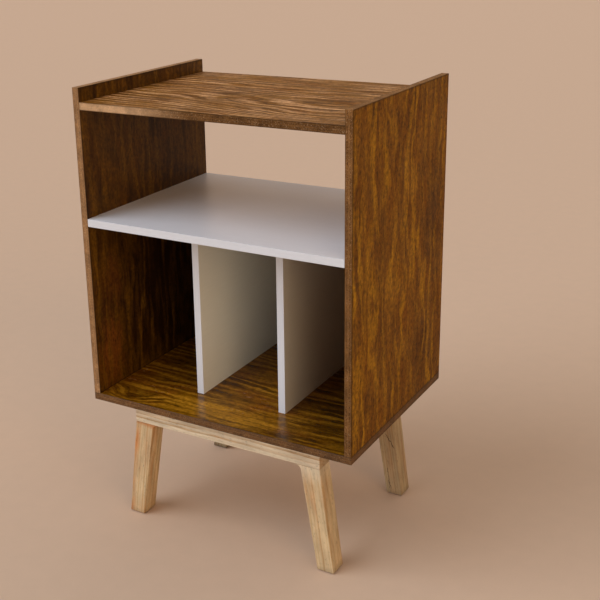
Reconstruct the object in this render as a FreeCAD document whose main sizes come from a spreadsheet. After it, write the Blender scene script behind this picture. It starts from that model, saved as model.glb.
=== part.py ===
"""Turntable stand: a stained plywood carcass on two splayed pine leg frames.

The sides rise above the top and make a tray for the turntable. Below it lie an open bay and, under
a white shelf, three record bays between white dividers, closed by a thin back panel.
Millimetres, +Z up, the front towards -Y, the origin on the floor under the middle of the stand.
"""
import FreeCAD, Part
import math
import os
import re

import Sketcher
from FreeCAD import Vector

SIZES = {
    # Carcass of stained plywood
    "width": 580,               # across both sides
    "depth": 420,               # front edges to rear edges
    "board": 15,                # thickness of the sides, top and bottom
    "side_height": 623,         # of a side, which stands on the bottom panel
    "tray_depth": 27,           # from the upper edges of the sides down to the top panel
    "record_height": 354,       # clear height of the record bays
    "edge_ease": 1,             # rounding of the exposed plywood edges
    # White shelf and dividers
    "white_board": 15,          # thickness of the shelf and the dividers
    "band_thickness": 1,        # edge band on their front edges
    "band_ease": 0.4,           # rounding of the band's long edges
    "divider_setback": 97,      # from the carcass front back to the dividers
    # Back panel of the record bays, let into rabbets in the sides
    "back_board": 6,            # thickness, and depth of the rabbets
    "rabbet_width": 8,          # how far the rabbets reach into the sides
    "back_clearance": 0.3,      # between the panel and the rabbets
    # Leg frames of pine
    "stand_height": 262,        # from the floor to the underside of the bottom panel
    "frame_thickness": 40,      # of rails and legs, front to back
    "front_frame_inset": 30,    # from the carcass front to the front frame
    "rear_frame_inset": 26,     # from the carcass rear to the rear frame
    "rail_length": 422,
    "rail_height": 45,
    "leg_top_width": 42,        # where a leg meets the rail
    "leg_foot_width": 35,
    "leg_spread": 29,           # how far a foot stands out beyond the rail's end
    "corner_radius": 9,         # hollow between a leg's inner edge and the rail
    "corner_lip": 1.6,          # thickness of the leg at the hollow's upper end
    "pine_ease": 1.4,           # rounding of the legs' and rails' edges
    # Felt pads under the feet
    "pad_diameter": 28,
    "pad_thickness": 2,
    "pad_ease": 0.5,
    # Beech dowels of the carcass
    "dowel_diameter": 8,
    "dowel_reach": 21,          # into the end of a board
    "dowel_margin": 50,         # from a board's front and rear edges
    "dowel_chamfer": 1,
    "dowel_gap": 0.1,           # glue line round every dowel
    "end_gap": 0.5,             # room beyond the ends of dowels, screws and brads
    # Beech dowels between legs and rails
    "leg_dowel_diameter": 10,
    "leg_dowel_reach": 25,      # into the leg, and into the rail
    # Countersunk screws, up through the bottom panel into sides and dividers
    "screw_diameter": 4.5,
    "screw_head_diameter": 9,
    "screw_grip": 32,           # into the upright
    "screw_tip": 4,             # length of the tapered point
    "screw_gap": 0.1,           # room round the shanks and heads of all screws
    "screw_margin": 40,         # from the ends of the row of screws
    # Pan head screws, up through the rails into the bottom panel
    "rail_screw_diameter": 5,
    "rail_screw_head_diameter": 10,
    "rail_screw_head": 3.5,     # height of the head
    "counterbore_depth": 10,    # of the holes in the rails
    # Brads through the back panel
    "brad_diameter": 1.4,
    "brad_head_diameter": 3,
    "brad_head": 1,             # thickness of the head, which lies flush
    "brad_length": 22,
    "brad_gap": 0.05,           # room round the brads
    "brad_margin": 30,          # from the panel's upper and lower edges
}

# Shares of the sizes that these places follow
DOWEL_FACE_SHARE = 0.6              # of a board's thickness, for a dowel in its face
DOWEL_SHARES = (0, 0.5, 1)          # of the run between the dowel margins
DIVIDER_DOWEL_SHARES = (0, 1)
SIDE_SCREW_SHARES = (0, 0.35, 0.65, 1)
DIVIDER_SCREW_SHARES = (0, 1)
RAIL_SCREW_SHARES = (-0.6, 0, 0.6)  # of half the rail's length
BITE_SHARE = 0.7                    # of the bottom panel's thickness, for a rail's screws
LEG_DOWEL_SHARES = (0.3, 0.7)       # of the leg's top width, from its outer edge
BRAD_SHARES = (0, 1 / 3, 2 / 3, 1)  # of the run between the brad margins
TIP_TAPER = 22                      # degrees, half the point's angle
HEAD_TAPER = 45                     # degrees, half the countersink's angle
TOUCH = 1e-6                        # two places nearer than this are the same

# Sizes and places that follow from those above
DERIVED = {
    "inner_width": "width - 2 * board",
    "carcass_floor": "stand_height + board",
    "shelf_under": "carcass_floor + record_height",
    "top_under": "carcass_floor + side_height - tray_depth - board",
    "bay_width": "(inner_width - 2 * white_board) / 3",
    "divider_centre": "(bay_width + white_board) / 2",
    "divider_front": "divider_setback + band_thickness - depth / 2",
    "divider_length": "depth / 2 - back_board - divider_front",
    "back_reach": "inner_width / 2 + rabbet_width - back_clearance",
    "brad_column": "inner_width / 2 + rabbet_width / 2",
    "front_frame": "front_frame_inset - depth / 2",
    "rear_frame": "depth / 2 - rear_frame_inset - frame_thickness",
    "rail_under": "stand_height - rail_height",
    "foot_outer": "rail_length / 2 + leg_spread",
    "foot_inner": "foot_outer - leg_foot_width",
    "leg_inner": "rail_length / 2 - leg_top_width",
    "lip_inner": "leg_inner - corner_radius",
    "lip_under": "rail_under - corner_lip",
    "leg_height": "rail_under - pad_thickness",
    "lip_corner": "leg_inner + (foot_inner - leg_inner) * corner_lip / leg_height",
    "dowel_bore": "dowel_diameter + 2 * dowel_gap",
    "leg_dowel_bore": "leg_dowel_diameter + 2 * dowel_gap",
    "rail_screw_bite": f"board * {BITE_SHARE}",
    "screw_bore": "screw_diameter + 2 * screw_gap",
    "screw_sink": "screw_head_diameter + 2 * screw_gap",
    "screw_head": "(screw_head_diameter - screw_diameter) / 2",
    "screw_length": "board + screw_grip",
    "rail_screw_bore": "rail_screw_diameter + 2 * screw_gap",
    "rail_screw_sink": "rail_screw_head_diameter + 2 * screw_gap",
    "rail_screw_length": "rail_height - counterbore_depth + rail_screw_bite",
    "brad_bore": "brad_diameter + 2 * brad_gap",
    "brad_sink": "brad_head_diameter + 2 * brad_gap",
}

doc = FreeCAD.newDocument("turntable_stand")
sheet = doc.addObject("Spreadsheet::Sheet", "Sizes")
for row, (size_name, size_value) in enumerate(SIZES.items(), 1):
    sheet.set(f"A{row}", size_name)
    sheet.set(f"B{row}", str(size_value))
    sheet.setAlias(f"B{row}", size_name)
doc.recompute()
sub_parts = []


def cell(formula):
    """Turns the names of sizes in a formula into references to their cells."""
    def reference(match):
        word = match.group()
        return f"({cell(DERIVED[word])})" if word in DERIVED else f"Sizes.{word}"
    return re.sub(r"[a-z_]+", reference, formula)


def bind(item, path, formula):
    """Ties a property of an object to a formula of sizes."""
    item.setExpression(path, cell(formula))


def new_body(label, x="0", y="0", z="0"):
    """An empty sub-part whose own frame stands at the given place."""
    body = doc.addObject("PartDesign::Body", label)
    body.Label = label
    for axis, formula in zip("xyz", (x, y, z)):
        bind(body, f"Placement.Base.{axis}", formula)
    sub_parts.append(body)
    return body


def new_sketch(body, plane, offset="0"):
    """An empty sketch on one of the body's own planes, moved along the plane's normal."""
    sketch = body.newObject("Sketcher::SketchObject", f"{body.Label}_sketch")
    support = next(item for item in body.Origin.OriginFeatures if item.Role == f"{plane}_Plane")
    sketch.AttachmentSupport = (support, [""])
    sketch.MapMode = "FlatFace"
    bind(sketch, "AttachmentOffset.Base.z", offset)
    return sketch


def constrain(sketch, kind, place, formula):
    """Adds a dimension to a sketch and ties it to a formula."""
    index = sketch.addConstraint(Sketcher.Constraint(kind, *place, 1.0))
    sketch.renameConstraint(index, f"size_{index}")
    bind(sketch, f"Constraints.size_{index}", formula)


def outline(sketch, points):
    """Draws a closed outline of straight lines, each corner placed by two formulas."""
    count = len(points)
    turns = [2 * math.pi * index / count for index in range(count)]
    start = [Vector(math.cos(turn), math.sin(turn), 0) for turn in turns]
    for index in range(count):
        sketch.addGeometry(Part.LineSegment(start[index], start[(index + 1) % count]))
    for index, (x, y) in enumerate(points):
        before = (index - 1) % count
        sketch.addConstraint(Sketcher.Constraint("Coincident", before, 2, index, 1))
        constrain(sketch, "DistanceX", (-1, 1, index, 1), x)
        constrain(sketch, "DistanceY", (-1, 1, index, 1), y)


def rectangle(sketch, x_size, y_size, x="0", y="0"):
    """Draws a rectangle from its lower left corner."""
    far_x = f"({x}) + {x_size}"
    far_y = f"({y}) + {y_size}"
    outline(sketch, [(x, y), (far_x, y), (far_x, far_y), (x, far_y)])


def circles(sketch, diameter, places):
    """Draws a circle of one diameter at each place."""
    for x, y in places:
        index = sketch.addGeometry(Part.Circle(Vector(sketch.GeometryCount, 0, 0), Vector(0, 0, 1), 1))
        constrain(sketch, "Diameter", (index,), diameter)
        constrain(sketch, "DistanceX", (-1, 1, index, 3), x)
        constrain(sketch, "DistanceY", (-1, 1, index, 3), y)


def pad(body, sketch, length, taper=0, both_ways=False):
    """Raises a sketch into a solid, straight or tapered."""
    feature = body.newObject("PartDesign::Pad", f"{body.Label}_pad")
    feature.Profile = sketch
    feature.TaperAngle = taper
    feature.SideType = "Symmetric" if both_ways else "One side"
    bind(feature, "Length", length)
    doc.recompute()


def cut(body, kind, sketch, into_normal, settings, sizes):
    """Cuts a pocket or a hole from a sketch and makes sure that it takes material away."""
    before = body.Shape.Volume
    feature = body.newObject(f"PartDesign::{kind}", f"{body.Label}_cut")
    feature.Profile = sketch
    feature.Reversed = into_normal
    for name, value in settings.items():
        setattr(feature, name, value)
    for name, formula in sizes.items():
        bind(feature, name, formula)
    doc.recompute()
    if body.Shape.Volume >= before:
        raise RuntimeError(f"{feature.Label} cuts nothing")


def pocket(body, sketch, depth, into_normal):
    """Sinks a sketch into the body by a depth, along its normal or against it."""
    cut(body, "Pocket", sketch, into_normal, {}, {"Length": depth})


def blind_holes(body, plane, offset, into_normal, diameter, depth, places):
    """Drills flat-bottomed holes of one diameter and depth."""
    sketch = new_sketch(body, plane, offset)
    circles(sketch, diameter, places)
    pocket(body, sketch, depth, into_normal)


def screw_holes(body, plane, offset, into_normal, diameter, places, head_settings, head_sizes):
    """Drills through holes with a seat for the head at their mouth."""
    sketch = new_sketch(body, plane, offset)
    circles(sketch, diameter, places)
    doc.recompute()
    settings = {"ThreadType": "None", "DepthType": "ThroughAll", "HoleCutCustomValues": True}
    cut(body, "Hole", sketch, into_normal, settings | head_settings, {"Diameter": diameter} | head_sizes)


def sides_of(edge, shape):
    """Names the sides of the shape's box that an edge lies in, such as -y+z."""
    box = shape.BoundBox
    own = edge.BoundBox
    found = ""
    for axis in "XYZ":
        low, high = getattr(box, f"{axis}Min"), getattr(box, f"{axis}Max")
        if getattr(own, f"{axis}Max") - low < TOUCH:
            found += f"-{axis.lower()}"
        if high - getattr(own, f"{axis}Min") < TOUCH:
            found += f"+{axis.lower()}"
    return found


def dress(body, kind, path, size, chosen):
    """Rounds or chamfers the edges that a test picks."""
    base = body.Tip
    names = [f"Edge{n}" for n, edge in enumerate(base.Shape.Edges, 1) if chosen(edge, base.Shape)]
    feature = body.newObject(f"PartDesign::{kind}", f"{body.Label}_{kind.lower()}")
    feature.Base = (base, names)
    bind(feature, path, size)
    doc.recompute()


def ease(body, radius, edges):
    """Rounds the edges that lie in the named pairs of sides."""
    dress(body, "Fillet", "Radius", radius, lambda edge, shape: sides_of(edge, shape) in edges)


def board(label, x_size, y_size, z_size, x, y, z, radius="edge_ease", eased=()):
    """A board cut square, with some of its edges eased."""
    body = new_body(label, x, y, z)
    sketch = new_sketch(body, "XY")
    rectangle(sketch, x_size, y_size)
    pad(body, sketch, z_size)
    if eased:
        ease(body, radius, eased)
    return body


def along(first, last, shares):
    """Places at shares of the run from a first to a last place."""
    return [f"({first}) + (({last}) - ({first})) * {share}" for share in shares]


def pairs(firsts, seconds):
    """Every first coordinate with every second one."""
    return [(first, second) for first in firsts for second in seconds]


def spread(shares, run, margin):
    """Places along a board's run that keep a margin from both its ends."""
    return along(margin, f"{run} - {margin}", shares)


# Places that two pieces share, measured from the carcass's front edge or its middle
dowel_depths = spread(DOWEL_SHARES, "depth", "dowel_margin")
divider_dowel_depths = spread(DIVIDER_DOWEL_SHARES, "divider_length", "dowel_margin")
side_screw_depths = spread(SIDE_SCREW_SHARES, "depth", "screw_margin")
divider_screw_depths = along(
    "divider_front + screw_margin", "rear_frame - screw_margin", DIVIDER_SCREW_SHARES)
rail_screw_places = [f"rail_length / 2 * {share}" for share in RAIL_SCREW_SHARES]
leg_dowel_places = [f"rail_length / 2 - leg_top_width * {share}" for share in LEG_DOWEL_SHARES]
brad_rows = spread(BRAD_SHARES, "record_height", "brad_margin")
side_face_depth = f"board * {DOWEL_FACE_SHARE}"
shelf_face_depth = f"white_board * {DOWEL_FACE_SHARE}"


def side_panel(label, x, inner_face, rabbet, faces_left):
    """A side: rabbeted for the back panel, bored for the dowels and the screws."""
    eased = ("-x-y", "+x-y", "-x+y", "+x+y", "-x+z", "+x+z", "-y+z", "+y+z")
    body = board(label, "board", "depth", "side_height", x, "-depth / 2", "carcass_floor", eased=eased)
    sketch = new_sketch(body, "XY")
    rectangle(sketch, "rabbet_width", "back_board", rabbet, "depth - back_board")
    pocket(body, sketch, "record_height", True)
    heights = ("top_under + board / 2 - carcass_floor", "record_height + white_board / 2")
    blind_holes(body, "YZ", inner_face, faces_left, "dowel_bore", f"{side_face_depth} + end_gap",
                pairs(dowel_depths, heights))
    blind_holes(body, "XY", "0", True, "screw_bore", "screw_grip + end_gap",
                pairs(["board / 2"], side_screw_depths))
    brad_x = f"({rabbet}) + rabbet_width / 2"
    blind_holes(body, "XZ", "back_board - depth", True, "brad_bore",
                "brad_length - back_board + end_gap", pairs([brad_x], brad_rows))


def top_panel():
    """The turntable's deck, dowelled between the sides."""
    body = board("top_panel", "inner_width", "depth", "board", "-inner_width / 2", "-depth / 2", "top_under",
                 eased=("-y-z", "-y+z", "+y-z", "+y+z"))
    for end, into_normal in (("0", True), ("inner_width", False)):
        blind_holes(body, "YZ", end, into_normal, "dowel_bore", "dowel_reach + end_gap",
                    pairs(dowel_depths, ["board / 2"]))


def bottom_panel():
    """The panel under the whole carcass, with its screw holes."""
    eased = ("-x-y", "+x-y", "-x+y", "+x+y", "-x-z", "+x-z", "-y-z", "+y-z", "-y+z", "+y+z")
    body = board("bottom_panel", "width", "depth", "board", "-width / 2", "-depth / 2", "stand_height",
                 eased=eased)
    places = pairs(["board / 2", "width - board / 2"], side_screw_depths)
    divider_columns = ["width / 2 - divider_centre", "width / 2 + divider_centre"]
    places += pairs(divider_columns, [f"depth / 2 + {place}" for place in divider_screw_depths])
    sink = {"HoleCutType": "Countersink", "HoleCutCountersinkAngle": 2 * HEAD_TAPER}
    screw_holes(body, "XY", "0", True, "screw_bore", places, sink, {"HoleCutDiameter": "screw_sink"})
    frame_rows = [f"depth / 2 + {frame} + frame_thickness / 2" for frame in ("front_frame", "rear_frame")]
    blind_holes(body, "XY", "0", True, "rail_screw_bore", "rail_screw_bite + end_gap",
                pairs([f"width / 2 + {place}" for place in rail_screw_places], frame_rows))


def back_panel():
    """The thin panel behind the record bays, bradded from behind."""
    body = board("back_panel", "2 * back_reach", "back_board", "record_height",
                 "-back_reach", "depth / 2 - back_board", "carcass_floor")
    columns = [f"back_reach + {sign} * {column}" for sign in (-1, 1)
               for column in ("brad_column", "divider_centre")]
    screw_holes(body, "XZ", "-back_board", True, "brad_bore", pairs(columns, brad_rows),
                {"HoleCutType": "Counterbore"}, {"HoleCutDiameter": "brad_sink", "HoleCutDepth": "brad_head"})


def shelf():
    """The white shelf between the bays, dowelled at both ends, with its edge band."""
    body = board("shelf", "inner_width", "depth - band_thickness", "white_board",
                 "-inner_width / 2", "band_thickness - depth / 2", "shelf_under")
    depths = [f"{place} - band_thickness" for place in dowel_depths]
    for end, into_normal in (("0", True), ("inner_width", False)):
        blind_holes(body, "YZ", end, into_normal, "dowel_bore", "dowel_reach + end_gap",
                    pairs(depths, ["white_board / 2"]))
    columns = ["inner_width / 2 - divider_centre", "inner_width / 2 + divider_centre"]
    rows = [f"divider_setback + {place}" for place in divider_dowel_depths]
    blind_holes(body, "XY", "0", True, "dowel_bore", f"{shelf_face_depth} + end_gap",
                pairs(columns, rows))
    board("shelf_edge_band", "inner_width", "band_thickness", "white_board",
          "-inner_width / 2", "-depth / 2", "shelf_under", "band_ease", ("-y-z", "-y+z"))


def divider(label, sign):
    """A white divider between record bays, with its edge band."""
    x = f"{sign} * divider_centre - white_board / 2"
    body = board(label, "white_board", "divider_length", "record_height", x, "divider_front", "carcass_floor")
    middle = ["white_board / 2"]
    blind_holes(body, "XY", "record_height", False, "dowel_bore", "dowel_reach + end_gap",
                pairs(middle, divider_dowel_depths))
    blind_holes(body, "XY", "0", True, "screw_bore", "screw_grip + end_gap",
                pairs(middle, [f"{place} - divider_front" for place in divider_screw_depths]))
    blind_holes(body, "XZ", "-divider_length", True, "brad_bore",
                "brad_length - back_board + end_gap", pairs(middle, brad_rows))
    board(f"{label}_edge_band", "white_board", "band_thickness", "record_height",
          x, "divider_front - band_thickness", "carcass_floor", "band_ease", ("-x-y", "+x-y"))


def rail(label, frame):
    """The upper member of a leg frame, screwed up into the bottom panel."""
    body = board(label, "rail_length", "frame_thickness", "rail_height",
                 "-rail_length / 2", frame, "rail_under",
                 "pine_ease", ("-x-y", "+x-y", "-x+y", "+x+y", "-y-z", "+y-z"))
    middle = ["frame_thickness / 2"]
    screw_holes(body, "XY", "0", True, "rail_screw_bore",
                pairs([f"rail_length / 2 + {place}" for place in rail_screw_places], middle),
                {"HoleCutType": "Counterbore"},
                {"HoleCutDiameter": "rail_screw_sink", "HoleCutDepth": "counterbore_depth"})
    for sign in (-1, 1):
        blind_holes(body, "XY", "0", True, "leg_dowel_bore", "leg_dowel_reach + end_gap",
                    pairs([f"rail_length / 2 + {sign} * ({place})" for place in leg_dowel_places], middle))


def turn_half(body):
    """Turns a piece half round about the vertical, for the stand's left side."""
    body.Placement.Rotation = FreeCAD.Rotation(Vector(0, 0, 1), 180)


def leg(label, frame, is_left):
    """A splayed, tapered leg, hollowed where its inner edge runs into the rail."""
    body = new_body(label, "0", f"{frame} + frame_thickness / 2", "0")
    if is_left:
        turn_half(body)
    sketch = new_sketch(body, "XZ")
    outline(sketch, [
        ("rail_length / 2", "rail_under"),
        ("lip_inner", "rail_under"),
        ("lip_inner", "lip_under"),
        ("lip_corner", "lip_under"),
        ("foot_inner", "pad_thickness"),
        ("foot_outer", "pad_thickness"),
    ])
    pad(body, sketch, "frame_thickness", both_ways=True)
    ease(body, "corner_radius", ("",))
    dress(body, "Fillet", "Radius", "pine_ease", lambda edge, shape: (
        edge.BoundBox.ZLength > shape.BoundBox.ZLength / 2 or "-z" in sides_of(edge, shape)))
    blind_holes(body, "XY", "rail_under", False, "leg_dowel_bore", "leg_dowel_reach + end_gap",
                pairs(leg_dowel_places, ["0"]))


def pad_under(label, frame, is_left):
    """A round felt pad glued under a foot."""
    body = new_body(label, "0", f"{frame} + frame_thickness / 2", "0")
    if is_left:
        turn_half(body)
    sketch = new_sketch(body, "XY")
    circles(sketch, "pad_diameter", [("(foot_inner + foot_outer) / 2", "0")])
    pad(body, sketch, "pad_thickness")
    ease(body, "pad_ease", ("-z",))


def pegs(label, diameter, length, rows):
    """A group of chamfered dowels, each row with its own plane, offset and places."""
    body = new_body(label)
    for plane, offset, places in rows:
        sketch = new_sketch(body, plane, offset)
        circles(sketch, diameter, places)
        pad(body, sketch, length)
    dress(body, "Chamfer", "Size", "dowel_chamfer", lambda edge, shape: isinstance(edge.Curve, Part.Circle))


def dowels():
    """All the dowels, which hold the top, shelf, dividers and legs."""
    depths = [f"{place} - depth / 2" for place in dowel_depths]
    ends = (f"-inner_width / 2 - {side_face_depth}", "inner_width / 2 - dowel_reach")
    for label, height in (("top_panel_dowels", "top_under + board / 2"),
                          ("shelf_dowels", "shelf_under + white_board / 2")):
        pegs(label, "dowel_diameter", f"dowel_reach + {side_face_depth}",
             [("YZ", end, pairs(depths, [height])) for end in ends])
    rows = [f"divider_front + {place}" for place in divider_dowel_depths]
    pegs("divider_dowels", "dowel_diameter", f"dowel_reach + {shelf_face_depth}",
         [("XY", "shelf_under - dowel_reach", pairs(["-divider_centre", "divider_centre"], rows))])
    columns = [f"{sign} * ({place})" for sign in (-1, 1) for place in leg_dowel_places]
    rows = [f"{frame} + frame_thickness / 2" for frame in ("front_frame", "rear_frame")]
    pegs("leg_dowels", "leg_dowel_diameter", "2 * leg_dowel_reach",
         [("XY", "rail_under - leg_dowel_reach", pairs(columns, rows))])


def turned(label, plane, places, steps):
    """A group of screws or brads, built up in steps of diameter, length and taper from the head."""
    body = new_body(label)
    for offset, diameter, length, taper in steps:
        sketch = new_sketch(body, plane, offset)
        circles(sketch, diameter, places)
        pad(body, sketch, length, taper)


def screws():
    """Countersunk screws into the sides and the dividers, pan head screws into the bottom panel."""
    countersunk = [
        ("stand_height", "screw_head_diameter", "screw_head", -HEAD_TAPER),
        ("stand_height + screw_head", "screw_diameter", "screw_length - screw_head - screw_tip", 0),
        ("stand_height + screw_length - screw_tip", "screw_diameter", "screw_tip", -TIP_TAPER),
    ]
    side_columns = ["(board - width) / 2", "(width - board) / 2"]
    turned("side_panel_screws", "XY",
           pairs(side_columns, [f"{place} - depth / 2" for place in side_screw_depths]), countersunk)
    turned("divider_screws", "XY",
           pairs(["-divider_centre", "divider_centre"], divider_screw_depths), countersunk)
    seat = "rail_under + counterbore_depth"
    pan_head = [
        (f"{seat} - rail_screw_head", "rail_screw_head_diameter", "rail_screw_head", 0),
        (seat, "rail_screw_diameter", "rail_screw_length - screw_tip", 0),
        (f"{seat} + rail_screw_length - screw_tip", "rail_screw_diameter", "screw_tip", -TIP_TAPER),
    ]
    rows = [f"{frame} + frame_thickness / 2" for frame in ("front_frame", "rear_frame")]
    turned("rail_screws", "XY", pairs(rail_screw_places, rows), pan_head)


def brads():
    """The brads of the back panel, with flush heads."""
    columns = [f"{sign} * {column}" for sign in (-1, 1) for column in ("brad_column", "divider_centre")]
    rows = [f"carcass_floor + {place}" for place in brad_rows]
    turned("back_panel_brads", "XZ", pairs(columns, rows), [
        ("-depth / 2", "brad_head_diameter", "brad_head", 0),
        ("brad_head - depth / 2", "brad_diameter", "brad_length - brad_head", 0),
    ])


side_panel("left_side_panel", "-width / 2", "board", "board - rabbet_width", False)
side_panel("right_side_panel", "width / 2 - board", "0", "0", True)
top_panel()
bottom_panel()
back_panel()
shelf()
divider("left_divider", -1)
divider("right_divider", 1)
for end_name, frame_place in (("front", "front_frame"), ("rear", "rear_frame")):
    rail(f"{end_name}_rail", frame_place)
    for side_name in ("left", "right"):
        leg(f"{end_name}_{side_name}_leg", frame_place, side_name == "left")
        pad_under(f"{end_name}_{side_name}_pad", frame_place, side_name == "left")
dowels()
screws()
brads()

doc.recompute()
for item in doc.Objects:
    if "Invalid" in item.State or "Error" in item.State:
        raise RuntimeError(f"{item.Label} failed: {item.State}")
for item in sub_parts:
    if item.Shape.isNull() or not item.Shape.isValid():
        raise RuntimeError(f"{item.Label} has no valid shape")

os.makedirs("parts", exist_ok=True)
for item in sub_parts:
    item.Shape.exportStep(f"parts/{item.Label}.step")
    print(f"{item.Label}: {len(item.Shape.Solids)} solids, {item.Shape.Volume:.1f} mm3")
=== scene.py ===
"""Turntable stand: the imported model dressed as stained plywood, white melamine and planed pine.

Metres in the shared frame: +Z up, the front towards -Y, the origin on the floor under the middle.
Patterns are worked out in millimetres of the real boards.
"""
import math
from types import SimpleNamespace

import bmesh
import bpy
from mathutils import Matrix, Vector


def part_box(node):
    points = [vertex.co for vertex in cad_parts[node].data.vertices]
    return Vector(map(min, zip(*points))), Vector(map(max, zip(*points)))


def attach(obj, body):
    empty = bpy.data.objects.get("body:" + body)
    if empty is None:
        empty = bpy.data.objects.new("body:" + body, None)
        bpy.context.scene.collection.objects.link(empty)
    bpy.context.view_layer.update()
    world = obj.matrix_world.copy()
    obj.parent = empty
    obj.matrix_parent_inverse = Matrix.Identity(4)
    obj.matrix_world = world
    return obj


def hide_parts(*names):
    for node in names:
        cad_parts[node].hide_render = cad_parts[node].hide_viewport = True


bl_info = {
    "name": "Turntable Stand",
    "version": (1, 0, 0),
    "blender": (4, 5, 0),
    "location": "View3D > Sidebar > Stand",
    "description": "Dresses a turntable stand of stained plywood and white shelves on splayed pine legs",
    "category": "Object",
}

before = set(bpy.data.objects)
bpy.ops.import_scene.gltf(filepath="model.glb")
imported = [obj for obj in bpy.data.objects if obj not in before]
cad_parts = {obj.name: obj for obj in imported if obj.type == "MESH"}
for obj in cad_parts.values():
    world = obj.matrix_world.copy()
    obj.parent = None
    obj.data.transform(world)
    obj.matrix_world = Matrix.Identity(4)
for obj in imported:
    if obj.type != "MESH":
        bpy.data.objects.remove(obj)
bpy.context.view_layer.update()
MM = 1000

# Places of the screws in millimetres from the stand's middle: across it, and from front to back
SIDE_SCREWS = ((-282.5, 282.5), (-170, -51, 51, 170))
DIVIDER_SCREWS = ((-94.1667, 94.1667), (-72, 104))
RAIL_SCREWS = ((-126.6, 0, 126.6), (-160, 164))
# Shares by which a recess's slots narrow towards their bottom, and a shank towards its point
RECESS_TAPER = (0.45, 0.6, 1)
TIP_TAPER = 0.15
# Radius of a pan head's face as a share of the head's diameter, then the rise and the widening of each step
# of its rounding
PAN_FACE = 0.3
PAN_ROUNDING = ((0.12, 1.35), (0.2, 1.16), (0.28, 1.0643), (0.4, 1.0))
# How far the legs lean outwards
SPLAY = math.radians(8.6)
# Thickness of each of the plywood's five veneers in millimetres
VENEER = 3.0
# The patterns of a board's two faces lie this many times as far apart as the faces do
FACE_SPREAD = 9.0
# The floor reaches far past the picture, in metres
FLOOR_SIZE = 120
# Lights: name, colour and level in the stage's settings, and in degrees the turn from the front towards the
# right, the height and the spread
LIGHTS = (
    ("key_light", "key", "key_level", -43, 32, 55),
    ("right_light", "warm", "right_level", 56, 20, 40),
    ("back_light", "warm", "back_level", 170, 28, 90),
    ("top_light", "key", "top_level", 0, 85, 80),
)
# Camera: its place in metres, its heading, tilt and roll in degrees, and the shift of its frame
CAMERA_PLACE = (1.02341, -1.73892, 1.21013)
CAMERA_TURN = (31.379, 71.985, -1.441)
CAMERA_SHIFT = (0.0826, -0.0754)


def linear(code):
    """A linear colour from an sRGB hex value."""
    shares = [int(code[place:place + 2], 16) / 255 for place in (1, 3, 5)]
    return (*(s / 12.92 if s <= 0.04045 else ((s + 0.055) / 1.055) ** 2.4 for s in shares), 1.0)


def colour(name, description, code):
    """A colour that the user may change."""
    return bpy.props.FloatVectorProperty(
        name=name, description=description, subtype="COLOR", size=4, min=0, max=1, default=linear(code))


def length(name, description, millimetres):
    """A length that the user may change."""
    return bpy.props.FloatProperty(
        name=name, description=description, subtype="DISTANCE", unit="LENGTH", precision=5,
        default=millimetres / MM)


def strength(name, description, level):
    """The strength of a light, which the user may change."""
    return bpy.props.FloatProperty(name=name, description=description, min=0, default=level)


class StandFinish(bpy.types.PropertyGroup):
    """Colours of the stand's finishes."""
    stain: colour("Stain", "Plain ground of the stained plywood", "#80530A")
    gold: colour("Latewood", "Hard growth lines that take little stain", "#A87814")
    honey: colour("Honey latewood", "Hard lines of the bottom and the left side, a little redder", "#A8741A")
    pale: colour("Worn latewood", "Hard lines of the top, rubbed paler", "#CD9B6A")
    dark: colour("Soaked wood", "Soft wood that soaks up most stain", "#4A2A03")
    red: colour("Red stain", "Blotches where the stain lies thick", "#77440E")
    amber: colour("Thin stain", "Patches that took the stain thinly", "#A05C1C")
    # Painted shade: near black patches where the insides and backs of the bays are shaded
    painted_shade: colour("Deepest stain", "Where the stain was brushed on twice", "#2B1206")
    wash: colour("Red wash", "What a thin red coat lets through, on the side panels' left faces", "#FFE2FF")
    edge: colour("Ply edge", "Sanded edges of the plywood", "#8F6538")
    edge_light: colour("Ply edge fleck", "Light fibres in the plywood's edges", "#CBAA84")
    edge_dark: colour("Ply edge pores", "Open end grain in the plywood's edges", "#4F3018")
    melamine: colour("Shelf melamine", "Faces of the shelf", "#E9EAEE")
    # The dividers' warmer white is painted warm light, bounced off the stained boards in the bays
    divider: colour("Divider melamine", "Faces of the dividers, a warmer white", "#E8E9DF")
    band: colour("Edge band", "Front bands of the shelf and the dividers", "#DFE4EA")
    early: colour("Pine earlywood", "Broad pale part of pine's growth rings", "#CEB78E")
    late: colour("Pine latewood", "Thin dark part of pine's growth rings", "#B58E58")
    sap: colour("Pine sapwood", "Palest pine, from the outside of the trunk", "#E5DABF")
    resin: colour("Pine heart", "Orange streaks of heartwood", "#BC7434")
    felt: colour("Felt", "Pads under the feet", "#3A2D25")
    beech: colour("Beech", "Dowels", "#C9A57B")
    zinc: colour("Zinc", "Plated screws and brads", "#C4C6C8")


class StandSizes(bpy.types.PropertyGroup):
    """Sizes of the pieces that are modelled here."""
    screw_head: length("Screw head", "Diameter of the countersunk heads", 9)
    screw_shank: length("Screw shank", "Diameter of the countersunk screws", 4.5)
    screw_length: length("Screw length", "From the head's face to the tip", 47)
    pan_head: length("Pan head", "Diameter of the rail screws' heads", 10)
    pan_height: length("Pan head height", "Height of the rail screws' heads", 3.5)
    pan_shank: length("Rail screw shank", "Diameter of the rail screws", 5)
    pan_length: length("Rail screw length", "From the head's face to the tip", 49)
    tip: length("Screw tip", "Length of the tapered points", 4)
    recess: length("Cross recess", "Span of the cross in the screw heads", 5)
    recess_width: length("Recess width", "Width of the cross's slots", 1.3)
    recess_depth: length("Recess depth", "Depth of the cross", 1.7)
    pad: length("Felt pad", "Diameter of the pads under the feet", 28)
    pad_height: length("Felt height", "Thickness of the pads", 2)
    pad_round: length("Felt rounding", "Rounding of the pads' rims", 0.6)
    pad_ragged: length("Felt raggedness", "How uneven the cut rims are", 0.35)


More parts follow.
